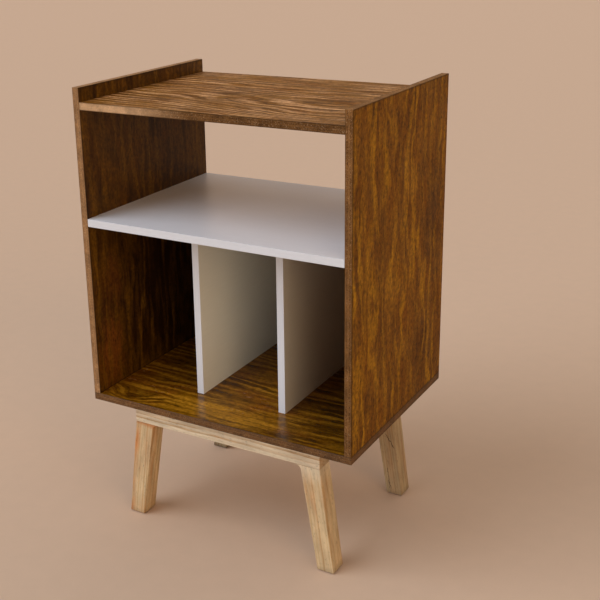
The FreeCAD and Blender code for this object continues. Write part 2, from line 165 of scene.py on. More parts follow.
class StageSettings(bpy.types.PropertyGroup):
    """Floor, light and camera."""
    floor: colour("Floor", "Plain matt floor", "#D5B89D")
    backdrop: colour("Backdrop", "Pale colour behind the stand", "#C6A893")
    room: colour("Room light", "Soft light from all round", "#FFF0E0")
    key: colour("Key light", "Wide soft light from the front left, and from above", "#E9F1FE")
    warm: colour("Warm light", "Weak light from the right and from behind", "#FFD9B0")
    room_level: strength("Room level", "Light from all round", 0.16)
    key_level: strength("Key level", "Light from the front left", 1.95)
    top_level: strength("Top level", "Light from above", 0.8)
    right_level: strength("Right level", "Light from the right", 0.8)
    back_level: strength("Back level", "Light from behind", 0.45)
    lens: bpy.props.FloatProperty(
        name="Lens", description="Focal length", subtype="DISTANCE_CAMERA", unit="CAMERA", default=63.9987)


def add(tree, kind, feeds=(), out=0, **settings):
    """Adds a shader node with its settings and links, and returns one of its outputs.

    What feeds it, numbers, colours and other nodes' outputs, comes in the order of its inputs or by name.
    """
    made = tree.nodes.new("ShaderNode" + kind)
    for setting, value in settings.items():
        setattr(made, setting, value)
    for name, value in feeds.items() if isinstance(feeds, dict) else enumerate(feeds):
        if isinstance(value, bpy.types.NodeSocket):
            tree.links.new(value, made.inputs[name])
        else:
            made.inputs[name].default_value = value
    return made.outputs[out]


def new_material(name):
    """An empty material and its tree."""
    material = bpy.data.materials.new(name)
    material.use_nodes = True
    material.node_tree.nodes.clear()
    return material, material.node_tree


def finish_material(tree, base, roughness, height, relief_mm, **sockets):
    """Ends a material in one shader, with its relief as a bump of a real depth."""
    relief = add(tree, "Bump", {"Height": height, "Distance": relief_mm / MM, "Strength": 1.0})
    feeds = {"Base Color": base, "Roughness": roughness, "Normal": relief}
    feeds.update({name.replace("_", " "): value for name, value in sockets.items()})
    surface = tree.nodes.new("ShaderNodeOutputMaterial").inputs["Surface"]
    tree.links.new(add(tree, "BsdfPrincipled", feeds), surface)


def lay_out(tree, node, order, turn=0.0):
    """A board's own directions in millimetres from its centre: across the grain, along it, through it.

    Also the board's half sizes, and how far its surface faces along each direction.
    """
    low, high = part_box(node)
    spot = add(tree, "Mapping", {"Vector": add(tree, "TexCoord", out="Object"),
                                 "Location": (low + high) / 2 * -MM, "Scale": (MM, MM, MM)})
    facing = add(tree, "TexCoord", out="Normal")
    if turn:
        spot = add(tree, "Mapping", {"Vector": spot, "Rotation": (0, turn, 0)})
        facing = add(tree, "Mapping", {"Vector": facing, "Rotation": (0, turn, 0)})
    where = add(tree, "SeparateXYZ", (spot,)).node.outputs
    faces = add(tree, "SeparateXYZ", (facing,)).node.outputs
    half = {letter: size * MM / 2 for letter, size in zip("XYZ", high - low)}
    return SimpleNamespace(
        place=[where[letter] for letter in order], half=[half[letter] for letter in order],
        facing=[add(tree, "Math", (faces[letter],), operation="ABSOLUTE") for letter in order])


def patches(tree, place, width, run, detail=2.0, seed=0.0, rough=0.5):
    """Noise in patches about this wide and this long in millimetres, from 0 to 1."""
    vector = add(tree, "CombineXYZ", place)
    spread = add(tree, "Mapping", {"Vector": vector, "Location": (seed, 1.7 * seed, 2.3 * seed),
                                   "Scale": (1 / width, 1 / run, 1 / width)})
    return add(tree, "TexNoise", {"Vector": spread, "Scale": 1.0, "Detail": detail, "Roughness": rough})


def coats(tree, base, *layers):
    """A colour with others laid over it in turn, each by its share."""
    for share, tint in layers:
        base = add(tree, "Mix", {0: share, 6: base, 7: tint}, out=2, data_type="RGBA")
    return base


def shade(tree, base, *levels):
    """A colour made darker or lighter by each of the levels in turn."""
    for level in levels:
        base = add(tree, "VectorMath", {0: base, "Scale": level}, operation="SCALE")
    return base


def distance(tree, place, centre, stretch):
    """Millimetres from a spot on the board's face, with lengths along the grain shrunk by stretch."""
    across = add(tree, "Math", (place[0], centre[0]), operation="SUBTRACT")
    along = add(tree, "Math", (place[1], centre[1]), operation="SUBTRACT")
    along = add(tree, "Math", (along, stretch), operation="MULTIPLY")
    off = add(tree, "CombineXYZ", (across, along))
    return add(tree, "VectorMath", (off,), out="Value", operation="LENGTH")


def wander(tree, place, waves, seed):
    """The place across the grain of a trunk that was not straight, after waves of width, run and reach."""
    across, *others = place
    for number, (width, run, reach) in enumerate(waves):
        wave = patches(tree, (across, *others), width, run, detail=3.0, seed=seed + number, rough=0.55)
        wave = add(tree, "MapRange", (wave, 0.0, 1.0, -reach, reach))
        across = add(tree, "Math", (across, wave), operation="ADD")
    return across


def growth_lines(tree, place, look):
    """The veneer's growth rings, as the knife unrolled them: share of hard wood, dark veins and knots."""
    seed = look["seed"]
    growth = add(tree, "Math", (place[0], 1 / look["pitch"]), operation="MULTIPLY")
    for width, run, amount, shift in ((*look["sway"], 0), (*look["wobble"], 3)):
        wave = patches(tree, place, width, run, seed=seed + shift)
        growth = add(tree, "Math", (wave, amount, growth), operation="MULTIPLY_ADD")
    cores = []
    for across, along, core, reach, lift, stretch in look["knots"]:
        far = distance(tree, place, (across, along), stretch)
        bulge = add(tree, "MapRange", (far, reach, 0.0, 0.0, lift), interpolation_type="SMOOTHSTEP")
        growth = add(tree, "Math", (growth, bulge), operation="ADD")
        if core:
            cores.append(add(tree, "MapRange", (far, core * 1.35, core * 0.7)))
    ring = add(tree, "Math", (growth, 0.5), operation="PINGPONG")
    hard = add(tree, "MapRange", (ring, look["line"], look["line"] - look["soft"]),
               interpolation_type="SMOOTHSTEP")
    vein = add(tree, "MapRange", (ring, 0.40, 0.48, 0.0, look["vein"]), interpolation_type="SMOOTHSTEP")
    return hard, vein, cores


def stained_face(tree, place, look):
    """Colour of a stained veneer: golden hard wood, dark soaked wood, red blotches and single patches."""
    finish = bpy.context.scene.stand_finish
    seed = look["seed"]
    hard, vein, cores = growth_lines(tree, place, look)
    zone = patches(tree, place, *look["zone"], seed=seed + 11)
    zone = add(tree, "MapRange", (zone, 0.4, 0.6, *look["gold"]))
    hard = add(tree, "Math", (hard, zone), operation="MULTIPLY")
    streak = patches(tree, place, *look["streak"], seed=seed + 17, rough=0.55)
    streak = add(tree, "MapRange", (streak, 0.46, 0.66), interpolation_type="SMOOTHSTEP")
    lean = add(tree, "MapRange", (place[0], *look["lean"]))
    blotch = patches(tree, place, *look["blotch"], detail=4.0, seed=seed + 21, rough=0.6)
    soaked = patches(tree, place, *look["soak"], detail=3.0, seed=seed + 31, rough=0.6)
    base = coats(
        tree, finish.stain,
        (add(tree, "MapRange", (blotch, 0.45, 0.65, 0.0, look["red"])), finish.red),
        (add(tree, "MapRange", (soaked, 0.42, 0.66, 0.0, look["dark"])), finish.dark))
    # Single patches lie on the board's second face, and have ragged rims
    second = add(tree, "Math", (place[2], 0.0), operation="GREATER_THAN")
    ragged = patches(tree, place, *look["ragged"], detail=3.0, seed=seed + 37, rough=0.6)
    ragged = add(tree, "MapRange", (ragged, 0.25, 0.75, -0.45, 0.45))
    for across, along, width, run, amount, tint in look["spots"]:
        far = distance(tree, place, (across, along), width / run)
        far = add(tree, "Math", (far, 1 / width, ragged), operation="MULTIPLY_ADD")
        share = add(tree, "MapRange", (far, 1.0, 0.35, 0.0, amount))
        share = add(tree, "Math", (share, second), operation="MULTIPLY")
        if tint == "gold":
            lean = add(tree, "Math", (lean, share), operation="ADD")
        else:
            base = coats(tree, base, (share, getattr(finish, tint)))
    golden = add(tree, "Math", (streak, lean, hard), operation="MULTIPLY_ADD", use_clamp=True)
    base = coats(tree, base, (golden, getattr(finish, look["hard"])), (vein, finish.dark),
                 *((core, finish.dark) for core in cores))
    return base, blotch


def ply_edge(tree, place, half, look):
    """Colour of a sanded edge: five veneers, the crossed ones as open end grain with light fibres."""
    finish = bpy.context.scene.stand_finish
    seed = look["seed"]
    ragged = patches(tree, place, *look["glue_line"], seed=seed + 61, rough=0.6)
    ragged = add(tree, "MapRange", (ragged, 0.0, 1.0, -1.0, 1.0))
    level = add(tree, "Math", (place[2], ragged), operation="ADD")
    level = add(tree, "Math", (level,), operation="ABSOLUTE")
    # The crossed veneers lie to either side of the middle one
    level = add(tree, "Math", (level, VENEER), operation="SUBTRACT")
    level = add(tree, "Math", (level,), operation="ABSOLUTE")
    crossed = add(tree, "MapRange", (level, 1.9, 1.1, 0.3, 0.95))
    pore = patches(tree, place, *look["edge_pore"], seed=seed + 67, rough=0.65)
    pore = add(tree, "MapRange", (pore, 0.38, 0.66))
    pore = add(tree, "Math", (pore, crossed), operation="MULTIPLY")
    light = patches(tree, place, *look["edge_fibre"], detail=1.0, seed=seed + 71)
    tone = patches(tree, place, *look["edge_tone"], detail=3.0, seed=seed + 81, rough=0.6)
    depth = add(tree, "Math", (place[2],), operation="ABSOLUTE")
    depth = add(tree, "Math", (half, depth), operation="SUBTRACT")
    base = coats(
        tree, finish.edge,
        (pore, finish.edge_dark),
        (add(tree, "MapRange", (light, 0.58, 0.72, 0.0, look["edge_fleck"])), finish.edge_light),
        (add(tree, "MapRange", (place[1], *look["edge_pale"])), finish.edge_light))
    base = shade(
        tree, base,
        add(tree, "MapRange", (tone, 0.35, 0.65, 0.75, 1.25)),
        add(tree, "MapRange", (place[1], *look["edge_drift"])),
        # Stain gathers along the arrises
        add(tree, "MapRange", (depth, *look["edge_arris"], 0.5, 1.0), interpolation_type="SMOOTHSTEP"))
    return base, pore


def stained_plywood(name, node, order, look):
    """Pine plywood, rotary cut, brushed with brown stain and a satin varnish.

    Hard growth lines take little stain and stay golden, soft wood between them soaks it up and goes
    dark, and the sanded edges show the layers, rough and greyer.
    """
    finish = bpy.context.scene.stand_finish
    material, tree = new_material(name)
    board = lay_out(tree, node, order)
    seed = look["seed"]
    # The two faces are different veneers, so the pattern's third direction is stretched between them
    place = [*board.place[:2], add(tree, "Math", (board.place[2], FACE_SPREAD), operation="MULTIPLY")]
    place[0] = wander(tree, place, look["warp"], seed + 91)
    face, blotch = stained_face(tree, place, look)
    *pore_size, pore_depth = look["pore"]
    fibre = patches(tree, place, *look["fibre_size"], detail=3.0, seed=seed + 41, rough=0.65)
    pore = patches(tree, place, *pore_size, seed=seed + 51, rough=0.6)
    mottle = patches(tree, place, *look["speck"], detail=3.0, seed=seed + 57, rough=0.7)
    inside = []
    for value, half in zip(board.place[:2], board.half):
        value = add(tree, "Math", (value,), operation="ABSOLUTE")
        inside.append(add(tree, "Math", (half, value), operation="SUBTRACT"))
    arris = add(tree, "Math", inside, operation="MINIMUM")
    face = shade(
        tree, face,
        add(tree, "MapRange", (fibre, 0.25, 0.75, 1 - look["fibre"], 1 + look["fibre"])),
        add(tree, "MapRange", (pore, 0.52, 0.68, 1.0, 1 - pore_depth)),
        add(tree, "MapRange", (mottle, 0.3, 0.7, 1 - look["mottle"], 1 + look["mottle"])),
        # Stain gathers along the arrises of a face, and the same darkening is painted shade in the gaps
        # where boards meet
        add(tree, "MapRange", (arris, *look["arris"], 0.5, 1.0), interpolation_type="SMOOTHSTEP"),
        # Level along the board, on the bottom and back boards painted shade
        add(tree, "MapRange", (place[1], *look["level"])),
        # Levels of the two faces, on the side panels painted shade on their inner faces
        add(tree, "MapRange", (place[2], -1.0, 1.0, *look["sides"])))
    # A thin red coat on the board's first face
    washed = add(tree, "MapRange", (place[2], 1.0, -1.0, 0.0, look["wash"]))
    face = add(tree, "Mix", {0: washed, 6: face, 7: finish.wash}, out=2, data_type="RGBA",
               blend_type="MULTIPLY")
    rim, open_grain = ply_edge(tree, board.place, board.half[2], look)
    is_edge = add(tree, "MapRange", (board.facing[2], 0.75, 0.55))
    gloss = add(tree, "MapRange", (blotch, 0.3, 0.7, look["rough"] - 0.04, look["rough"] + 0.06))
    roughness = add(tree, "Mix", {0: is_edge, 2: gloss, 3: 0.62}, data_type="FLOAT")
    relief = add(tree, "Mix", {0: is_edge, 2: fibre, 3: open_grain}, data_type="FLOAT")
    finish_material(tree, coats(tree, face, (is_edge, rim)), roughness, relief, relief_mm=0.12,
                    Specular_IOR_Level=look["gloss"])
    return material


def pine_crack(tree, place, start, end, width, seed):
    """Share of a drying crack that runs between two points of the front view, in millimetres."""
    run = math.dist(start, end)
    turn = math.atan2(end[1] - start[1], end[0] - start[0])
    spot = add(tree, "Mapping", {"Vector": add(tree, "TexCoord", out="Object"), "Scale": (MM, MM, MM)})
    spot = add(tree, "Mapping", {"Vector": spot, "Location": (start[0], 0, start[1]),
                                 "Rotation": (0, -turn, 0)}, vector_type="TEXTURE")
    along, _, across = add(tree, "SeparateXYZ", (spot,)).node.outputs
    bend = add(tree, "MapRange", (patches(tree, place, 6, 6, seed=seed), 0.0, 1.0, -4.0, 4.0))
    across = add(tree, "Math", (across, bend), operation="ADD")
    across = add(tree, "Math", (across,), operation="ABSOLUTE")
    crack = add(tree, "MapRange", (across, width, width * 0.4))
    for limits in ((-2.0, 3.0), (run + 2.0, run - 3.0)):
        end_share = add(tree, "MapRange", (along, *limits))
        crack = add(tree, "Math", (crack, end_share), operation="MULTIPLY")
    return crack


def planed_pine(name, node, order, look):
    """Pine, planed and left clear: pale with fine rings cut lengthwise, and arcs of them on browner ends."""
    finish = bpy.context.scene.stand_finish
    material, tree = new_material(name)
    board = lay_out(tree, node, order, look["turn"])
    place, seed = board.place, look["seed"]
    *bend_size, bend_reach = look["bend"]
    side = add(tree, "Math", (patches(tree, place, *bend_size, seed=seed), bend_reach, place[0]),
               operation="MULTIPLY_ADD")
    growth = distance(tree, (side, place[2]), look["pith"], 1.0)
    growth = add(tree, "Math", (growth, 1 / look["ring"]), operation="MULTIPLY")
    *wave_size, wave_reach = look["wave"]
    growth = add(tree, "Math", (patches(tree, place, *wave_size, seed=seed + 5), wave_reach, growth),
                 operation="MULTIPLY_ADD")
    ring = add(tree, "Math", (growth,), operation="FRACT")
    late = add(tree, "MapRange", (ring, 0.3, 0.85), interpolation_type="SMOOTHSTEP")
    # A ring ends sharply, and some rings are faint and some strong
    ring_end = add(tree, "MapRange", (ring, 1.0, 0.9))
    faint = patches(tree, place, *look["faint"], detail=1.0, seed=seed + 7)
    faint = add(tree, "MapRange", (faint, 0.35, 0.65, 0.1, look["contrast"]))
    for share in (ring_end, faint):
        late = add(tree, "Math", (late, share), operation="MULTIPLY")
    warm = patches(tree, place, *look["streak"], detail=3.0, seed=seed + 9, rough=0.55)
    wood = coats(tree, finish.early, (look["sap"], finish.sap), (late, finish.late),
                 (add(tree, "MapRange", (warm, 0.48, 0.72, 0.0, look["warm"])), finish.resin))
    if look["heart"]:
        heart = add(tree, "MapRange", (side, *look["heart"], 0.0, 0.8), interpolation_type="SMOOTHSTEP")
        broken = patches(tree, place, *look["broken"], seed=seed + 11)
        broken = add(tree, "MapRange", (broken, 0.4, 0.62, 0.15, 1.0))
        heart = add(tree, "Math", (heart, broken), operation="MULTIPLY")
        wood = coats(tree, wood, (heart, finish.resin))
    # The joint's end of a leg is planed level with the rail, on the front left leg browned instead as
    # painted shade under the rail, and end grain is browner
    tint, start, full, share = look["joint"]
    wood = coats(tree, wood,
                 (add(tree, "MapRange", (place[1], start, full, 0.0, share)), getattr(finish, tint)),
                 (add(tree, "MapRange", (board.facing[1], 0.6, 0.9, 0.0, 0.6)), finish.late))
    fibre = patches(tree, place, *look["fibre_size"], detail=3.0, seed=seed + 13, rough=0.6)
    canal = patches(tree, place, *look["canal"], detail=1.0, seed=seed + 17)
    cloud = patches(tree, place, *look["cloud"], detail=3.0, seed=seed + 23, rough=0.6)
    wood = shade(
        tree, wood,
        add(tree, "MapRange", (fibre, 0.25, 0.75, 0.9, 1.08)),
        add(tree, "MapRange", (canal, 0.64, 0.76, 1.0, 0.5)),
        add(tree, "MapRange", (cloud, 0.3, 0.7, 0.8, 1.18)),
        add(tree, "MapRange", (board.facing[1], 0.6, 0.9, 1.0, 0.85)),
        # Level along the piece: the feet darker, and painted shade on the rear legs
        add(tree, "MapRange", (place[1], *look["level"])))
    for start, end, width in look["cracks"]:
        crack = pine_crack(tree, place, start, end, width, seed + 29)
        wood = shade(tree, wood, add(tree, "MapRange", (crack, 0.0, 1.0, 1.0, 0.25)))
    roughness = add(tree, "MapRange", (fibre, 0.3, 0.7, 0.48, 0.62))
    finish_material(tree, wood, roughness, fibre, relief_mm=0.1)
    return material


def white_melamine(name, node, order, tint, rough):
    """White melamine paper pressed on chipboard: even, satin, with a faint pressed grain.

    The grain is 0.2 mm wide, drawn 1.6 mm wide, as coarse as the render needs to show it.
    """
    material, tree = new_material(name)
    place = lay_out(tree, node, order).place
    grain = patches(tree, place, 1.6, 60, detail=3.0, seed=4.0, rough=0.6)
    cloud = patches(tree, place, 60, 120, seed=9.0)
    base = shade(tree, tint[:3],
                 add(tree, "MapRange", (grain, 0.3, 0.7, 0.97, 1.015)),
                 add(tree, "MapRange", (cloud, 0.3, 0.7, 0.98, 1.0)))
    roughness = add(tree, "MapRange", (cloud, 0.3, 0.7, rough - 0.03, rough + 0.04))
    finish_material(tree, base, roughness, grain, relief_mm=0.03, Specular_IOR_Level=0.28)
    return material


def speckled(name, tint, grain_mm, cloud_mm, tones, rough, relief_mm, **sockets):
    """A material of one colour, with grains and clouds of it that are darker and lighter."""
    material, tree = new_material(name)
    spot = add(tree, "TexCoord", out="Object")
    grain = add(tree, "TexNoise", {"Vector": spot, "Scale": MM / grain_mm, "Detail": 3.0,
                                   "Roughness": 0.65})
    cloud = add(tree, "TexNoise", {"Vector": spot, "Scale": MM / cloud_mm, "Detail": 2.0})
    both = add(tree, "Math", (grain, cloud), operation="ADD")
    base = shade(tree, tint[:3], add(tree, "MapRange", (both, 0.6, 1.4, *tones)))
    roughness = add(tree, "MapRange", (cloud, 0.3, 0.7, *rough))
    finish_material(tree, base, roughness, grain, relief_mm, **sockets)
    return material


def dress(node, material):
    """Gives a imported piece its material."""
    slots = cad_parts[node].data.materials
    slots.clear()
    slots.append(material)


def label(node):
    """A node's name in words."""
    return node.replace("_", " ")


def start_piece():
    """Leaves nothing selected, so that the next operators act on the new piece alone."""
    if bpy.context.object and bpy.context.object.mode != "OBJECT":
        bpy.ops.object.mode_set(mode="OBJECT")
    bpy.ops.object.select_all(action="DESELECT")


def select_faces(condition):
    """Selects the faces of the piece in edit mode that meet a condition."""
    mesh = bmesh.from_edit_mesh(bpy.context.object.data)
    for part in (mesh.verts, mesh.edges, mesh.faces):
        for item in part:
            item.select = False
    chosen = [face for face in mesh.faces if condition(face)]
    for face in chosen:
        face.select = True
    if not chosen:
        raise RuntimeError("no face meets the condition")
    mesh.select_flush_mode()
    bmesh.update_edit_mesh(bpy.context.object.data)


def screw_cutter(size, width, depth):
    """One slot of a cross recess, narrower towards its bottom."""
    start_piece()
    bpy.ops.mesh.primitive_cube_add(size=1, location=(0, 0, 0))
    bpy.ops.object.mode_set(mode="EDIT")
    bpy.ops.transform.resize(value=(size, width, 2 * depth))
    select_faces(lambda face: face.normal.z > 0.9)
    bpy.ops.transform.resize(value=RECESS_TAPER)
    bpy.ops.object.mode_set(mode="OBJECT")
    return bpy.context.object


def model_screw(radius, steps, sizes):
    """A screw standing on its head's face, drawn up step by step, with a cross recess in the head."""
    cutters = [screw_cutter(sizes.recess, sizes.recess_width, sizes.recess_depth),
               screw_cutter(sizes.recess_width, sizes.recess, sizes.recess_depth)]
    start_piece()
    bpy.ops.mesh.primitive_circle_add(vertices=32, radius=radius, fill_type="NGON", location=(0, 0, 0))
    screw = bpy.context.object
    bpy.ops.object.mode_set(mode="EDIT")
    for rise, share in steps:
        bpy.ops.mesh.extrude_region_move(TRANSFORM_OT_translate={"value": (0, 0, rise)})
        bpy.ops.transform.resize(value=(share, share, 1))
    bpy.ops.mesh.select_all(action="SELECT")
    bpy.ops.mesh.normals_make_consistent(inside=False)
    bpy.ops.object.mode_set(mode="OBJECT")
    for cutter in cutters:
        recess = screw.modifiers.new("recess", "BOOLEAN")
        recess.operation = "DIFFERENCE"
        recess.solver = "EXACT"
        recess.object = cutter
        bpy.ops.object.modifier_apply(modifier=recess.name)
    clear_away(*cutters)
    start_piece()
    screw.select_set(True)
    bpy.context.view_layer.objects.active = screw
    bpy.ops.object.shade_smooth_by_angle(angle=math.radians(35))
    return screw


def crossings(places, height):
    """Points in metres at this height, where places across the stand and from front to back meet."""
    return [(x / MM, y / MM, height) for x in places[0] for y in places[1]]


def set_copies(model, name, places, material, node):
    """Copies a model to its places and joins the copies, each with its own mesh, to one piece."""
    copies = []
    for place in places:
        start_piece()
        model.select_set(True)
        bpy.context.view_layer.objects.active = model
        bpy.ops.object.duplicate(linked=False)
        bpy.ops.transform.translate(value=place)
        bpy.ops.object.transform_apply(location=True, rotation=True, scale=True)
        copies.append(bpy.context.object)
    start_piece()
    for copy in copies:
        copy.select_set(True)
    bpy.context.view_layer.objects.active = copies[0]
    if len(copies) > 1:
        bpy.ops.object.join()
    piece = bpy.context.object
    piece.name = piece.data.name = name
    piece.data.materials.append(material)
    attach(piece, "root")
    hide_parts(node)


def clear_away(*models):
    """Deletes the models that copies were made from, and cutters."""
    start_piece()
    for model in models:
        model.select_set(True)
    bpy.ops.object.delete()


# The stained boards' common look. Sizes are millimetres, as width across the grain and run along it
PLYWOOD = {
    # Growth lines: from one to the next, long waves and short ones with the lines that they move, the share
    # of hard wood and how softly it ends, knots as across, along, core, reach, lines and stretch
    "pitch": 38, "sway": (60, 320, 4.0), "wobble": (13, 100, 0.6), "line": 0.24, "soft": 0.17, "knots": (),
    # How far the grain wanders: waves, each with the millimetres that it moves the grain to either side
    "warp": ((60, 120, 14),),
    # Golden wood: its zones, least and most of it, its colour, loose streaks with their noise's detail, and
    # where they gather across the board as start, end and the shares there
    "zone": (70, 240), "gold": (0.05, 0.85), "hard": "gold", "streak": (11, 130, 2.5),
    "lean": (-210, 210, 0.3, 0.3),
    # Dark wood: thin veins, soaked streaks, red blotches, then single patches, some of them painted shade,
    # as across, along, width, run, amount and colour, and the unevenness of their rims
    "vein": 0.2, "dark": 0.7, "soak": (24, 130), "red": 0.5, "blotch": (45, 80),
    "spots": (), "ragged": (14, 40),
    # Fine grain: fibres, pores as dark dashes with their depth, and specks. Real fibres and pores are 0.1
    # to 0.3 mm wide. They are drawn from 1 to 8 mm wide, as coarse as the render needs to show them
    "fibre": 0.2, "fibre_size": (1.1, 38), "pore": (1.6, 9, 0.4), "speck": (2.4, 5), "mottle": 0.34,
    # Level along the board as start, end and the levels there, which on the bottom and back boards is
    # painted shade, levels of its two faces, which on the side panels paint shade on the inner faces, the
    # share of red wash on the first of them, and how far in from the arrises gathered stain and painted
    # shade in the joints start to thin and end
    "level": (-1, 1, 1.0, 1.0), "sides": (1.0, 1.0), "wash": 0.0, "arris": (0.6, 4.5),
    # Edges: level and paleness along the board, light fibres, open pores, clouds, the waves of the glue
    # lines, and gathered stain as on the faces. Fibres and pores are drawn coarser here too
    "edge_drift": (-200, 200, 1.0, 1.0), "edge_pale": (-200, 200, 0.0, 0.0), "edge_fleck": 0.4,
    "edge_fibre": (1.8, 2.2), "edge_pore": (1.7, 2.4), "edge_tone": (26, 34), "glue_line": (5, 9),
    "edge_arris": (0.6, 2.6),
    # Varnish
    "rough": 0.42, "gloss": 0.3, "seed": 1.0,
}

# The pine pieces' common look, with sizes in the same way
PINE = {
    # Pith's place across and through the piece, distance between rings, the strongest ring, the grain's
    # turn, and bends of the trunk and waves of the rings with their reach in millimetres and in rings
    "pith": (60, 30), "ring": 6.0, "contrast": 0.9, "turn": 0.0,
    "bend": (40, 260, 16.0), "wave": (5, 70, 0.7),
    # Faint rings, shares of sapwood and of warm streaks, where heartwood starts and is full, and its breaks
    "faint": (9, 320), "sap": 0.0, "warm": 0.35, "streak": (18, 120),
    "heart": None, "broken": (14, 90),
    # Level along the piece as start, end and the levels there, with the feet darker and the rear legs darker
    # as painted shade, clouds, and cracks as two points of the front view and a width
    "level": (-107, -98, 0.78, 1.0), "cloud": (12, 60), "cracks": (), "seed": 1.0,
    # Fibres, and resin canals as short brown dashes. Both are 0.1 to 0.3 mm wide, and drawn near 1 mm wide,
    # as coarse as the render needs to show them
    "fibre_size": (0.9, 26), "canal": (1.4, 9),
    # Colour of the joint's end, where along the piece it starts and is full, and its share
    "joint": ("sap", 70, 106, 0.6),
}


class STAND_OT_carcass(bpy.types.Operator):
    """Stains and varnishes the plywood carcass"""
    bl_idname = "stand.carcass"
    bl_label = "Plywood Carcass"

    def execute(self, context):
        # Each board's directions across its grain, along it and through it, and its own look
        boards = {
            "right_side_panel": ("YZX", {
                "seed": 2.0, "sway": (80, 230, 4.0), "warp": ((60, 120, 14), (16, 40, 5)),
                "line": 0.28, "soft": 0.22,
                "knots": ((-28, 273, 3, 14, 0.4, 0.55), (-75, 300, 0, 34, 1.3, 0.8)),
                "zone": (55, 210), "gold": (0.0, 0.72), "streak": (15, 95, 3.0),
                "lean": (-60, -110, 0.26, 0.5), "dark": 0.55,
                "spots": ((45, 60, 50, 150, 0.65, "gold"), (150, 60, 70, 160, 0.55, "dark"),
                          (110, -225, 100, 80, 0.55, "dark"), (20, 265, 60, 60, 0.4, "dark"),
                          (-75, 290, 20, 32, 0.5, "gold")),
                "pore": (4.0, 14, 0.48), "speck": (6, 8), "mottle": 0.45,
                # The inner face is darker: painted shade, which leaves less light to bounce into the right
                # bay
                "sides": (0.6, 1.01), "wash": 1.0, "edge_drift": (-100, 300, 0.72, 0.9),
                "rough": 0.5, "gloss": 0.06}),
            "left_side_panel": ("YZX", {
                "seed": 5.0, "gold": (0.0, 0.45), "hard": "honey", "dark": 0.9,
                # The first patch is painted shade, low on the inner face in the lower bay
                "spots": ((30, -130, 215, 250, 0.9, "painted_shade"), (-163, -235, 50, 95, 0.9, "amber"),
                          (-150, -80, 40, 60, 0.4, "amber")),
                "pore": (4.5, 16, 0.42), "speck": (6, 8), "mottle": 0.4,
                # The inner face is darker: painted shade inside the carcass
                "sides": (1.02, 0.48), "wash": 0.5,
                "edge_drift": (-300, 300, 1.08, 1.08), "edge_pale": (-300, 300, 0.14, 0.14),
                "gloss": 0.12}),
            "top_panel": ("YXZ", {
                "seed": 8.0, "pitch": 20, "sway": (80, 420, 4.0), "warp": ((50, 110, 8),), "soft": 0.13,
                "knots": ((-120, 185, 0, 150, 5.0, 0.4),),
                "gold": (0.15, 0.75), "hard": "pale", "streak": (9, 90, 2.5),
                "lean": (-210, 210, 0.42, 0.42), "vein": 0.72, "dark": 0.85, "red": 0.7,
                "pore": (8, 14, 0.35), "speck": (7, 7),
                "edge_drift": (-150, -30, 1.2, 0.55), "edge_pale": (-150, -30, 0.55, 0.0),
                "edge_fleck": 0.6, "rough": 0.5, "gloss": 0.05}),
            "bottom_panel": ("YXZ", {
                "seed": 12.0, "pitch": 20, "sway": (70, 360, 3.2), "wobble": (16, 70, 0.6),
                "warp": ((40, 70, 7),), "soft": 0.12, "knots": ((-186, -213, 9, 45, 2.0, 0.55),),
                "gold": (0.1, 0.9), "hard": "honey", "lean": (-210, -110, 0.3, 0.1),
                "vein": 0.62, "dark": 1.0, "red": 0.95,
                # The last two patches are painted shade on the floors of the right and left bays
                "spots": ((-160, 60, 62, 200, 0.9, "gold"), (-170, 15, 46, 180, 0.55, "honey"),
                          (-20, 225, 180, 95, 0.8, "painted_shade"), (-30, -200, 120, 120, 0.35, "painted_shade")),
                # Darker towards the right: painted shade in the right bay
                "pore": (6, 14, 0.3), "speck": (7, 9), "mottle": 0.32, "level": (40, 200, 1.16, 0.74),
                "edge_drift": (-300, 300, 0.68, 0.52), "rough": 0.22, "gloss": 0.22}),
            # Darker all over: painted shade at the backs of the bays
            "back_panel": ("XZY", {"seed": 15.0, "rough": 0.45, "level": (-1, 1, 0.7, 0.7)}),
        }
        for node, (order, look) in boards.items():
            dress(node, stained_plywood(
                f"Stained pine plywood, {label(node)}", node, order, {**PLYWOOD, **look}))
        return {"FINISHED"}


class STAND_OT_white_boards(bpy.types.Operator):
    """Faces the shelf and the dividers with white melamine and bands their front edges"""
    bl_idname = "stand.white_boards"
    bl_label = "White Shelf and Dividers"

    def execute(self, context):
        finish = context.scene.stand_finish
        # The dividers get the warmer white, painted warm bounce light
        for node, tint, faces, edge in (("shelf", finish.melamine, "YXZ", "ZXY"),
                                        ("left_divider", finish.divider, "ZYX", "XZY"),
                                        ("right_divider", finish.divider, "ZYX", "XZY")):
            dress(node, white_melamine(
                f"White melamine, {label(node)}", node, faces, tuple(tint), rough=0.34))
            band = f"{node}_edge_band"
            dress(band, white_melamine(
                f"White edge band, {label(node)}", band, edge, tuple(finish.band), rough=0.28))
        return {"FINISHED"}


